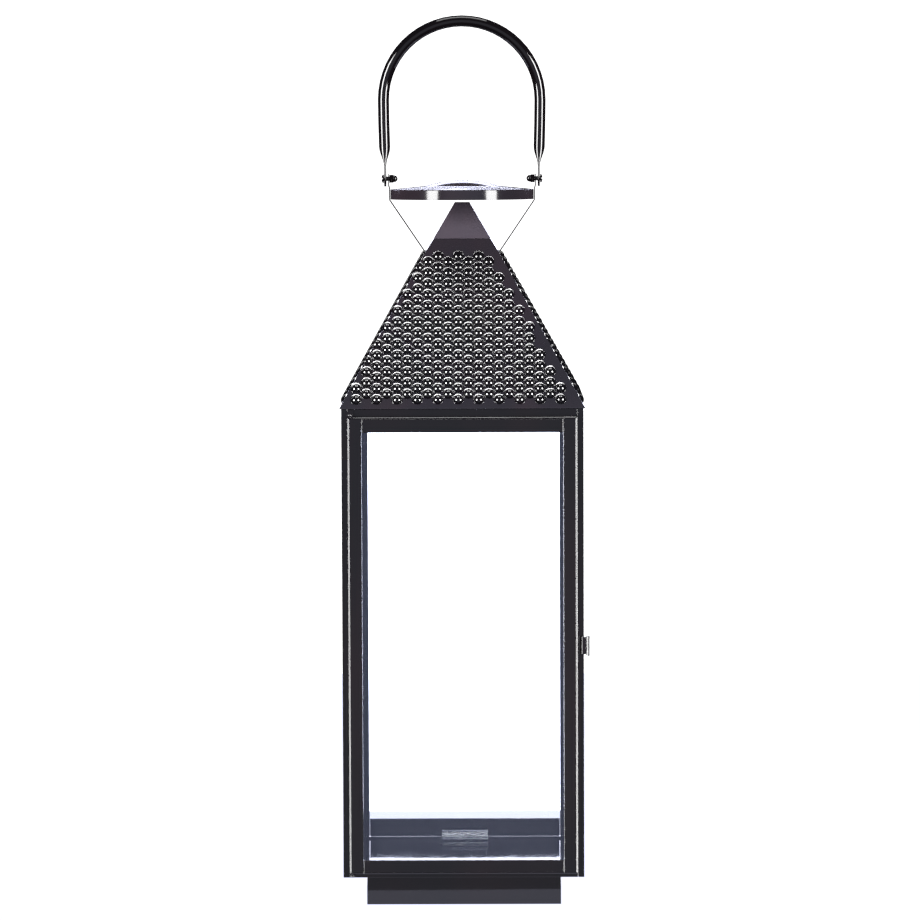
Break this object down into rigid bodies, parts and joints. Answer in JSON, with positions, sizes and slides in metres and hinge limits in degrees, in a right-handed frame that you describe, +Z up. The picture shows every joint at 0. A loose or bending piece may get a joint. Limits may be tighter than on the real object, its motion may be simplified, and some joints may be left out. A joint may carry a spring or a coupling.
{
  "type": "candle lantern",
  "caption": "Tall square glass lantern in gloss black metal with a hinged glass door, dimpled pyramid roof, round smoke cap and swinging bail handle.",
  "frame": {"origin": "middle of the plinth's underside, on the surface the lantern stands on", "axes": "+Z up, front with the door towards -Y, +X to the right of someone facing the door"},
  "size_m": [0.2168, 0.2179, 0.7782],
  "materials": {
    "black_lacquer": "high gloss black lacquer",
    "clear_glass": "clear polished float glass",
    "bright_steel": "plain bright steel"
  },
  "bodies": {
    "root": {"back_bottom_rail": "black_lacquer", "back_clip": "bright_steel", "back_glass": "clear_glass", "back_stile_a": "black_lacquer", "back_stile_b": "black_lacquer", "back_top_rail": "black_lacquer", "base_plinth": "black_lacquer", "cap_strap_left": "black_lacquer", "cap_strap_right": "black_lacquer", "chimney_cap": "black_lacquer", "corner_post_back_left": "black_lacquer", "corner_post_back_right": "black_lacquer", "corner_post_front_left": "black_lacquer", "corner_post_front_right": "black_lacquer", "floor_pan": "black_lacquer", "hinge_bracket_lower": "black_lacquer", "hinge_bracket_upper": "black_lacquer", "hinge_pin_lower": "black_lacquer", "hinge_pin_upper": "black_lacquer", "left_bottom_rail": "black_lacquer", "left_glass": "clear_glass", "left_stile_a": "black_lacquer", "left_stile_b": "black_lacquer", "left_top_rail": "black_lacquer", "pivot_nut_left": "black_lacquer", "pivot_nut_right": "black_lacquer", "pivot_screw_left": "black_lacquer", "pivot_screw_right": "black_lacquer", "right_bottom_rail": "black_lacquer", "right_glass": "clear_glass", "right_stile_a": "black_lacquer", "right_stile_b": "black_lacquer", "right_top_rail": "black_lacquer", "roof_shell": "black_lacquer", "smoke_cap": "black_lacquer", "top_frame": "black_lacquer"},
    "door": {"door_bottom_rail": "black_lacquer", "door_glass": "clear_glass", "door_hinge_stile": "black_lacquer", "door_latch_stile": "black_lacquer", "door_pull": "black_lacquer", "door_top_rail": "black_lacquer"},
    "handle": {"handle_bail": "black_lacquer"}
  },
  "joints": [
    {"name": "door_hinge", "type": "hinge", "parent": "root", "child": "door", "pos_m": [-0.0972, -0.1089, 0.2304], "axis": [0, 0, -1], "range_deg": [0, 170]},
    {"name": "handle_pivot", "type": "hinge", "parent": "root", "child": "handle", "pos_m": [0, 0, 0.6343], "axis": [1, 0, 0], "range_deg": [-147, 147]}
  ]
}
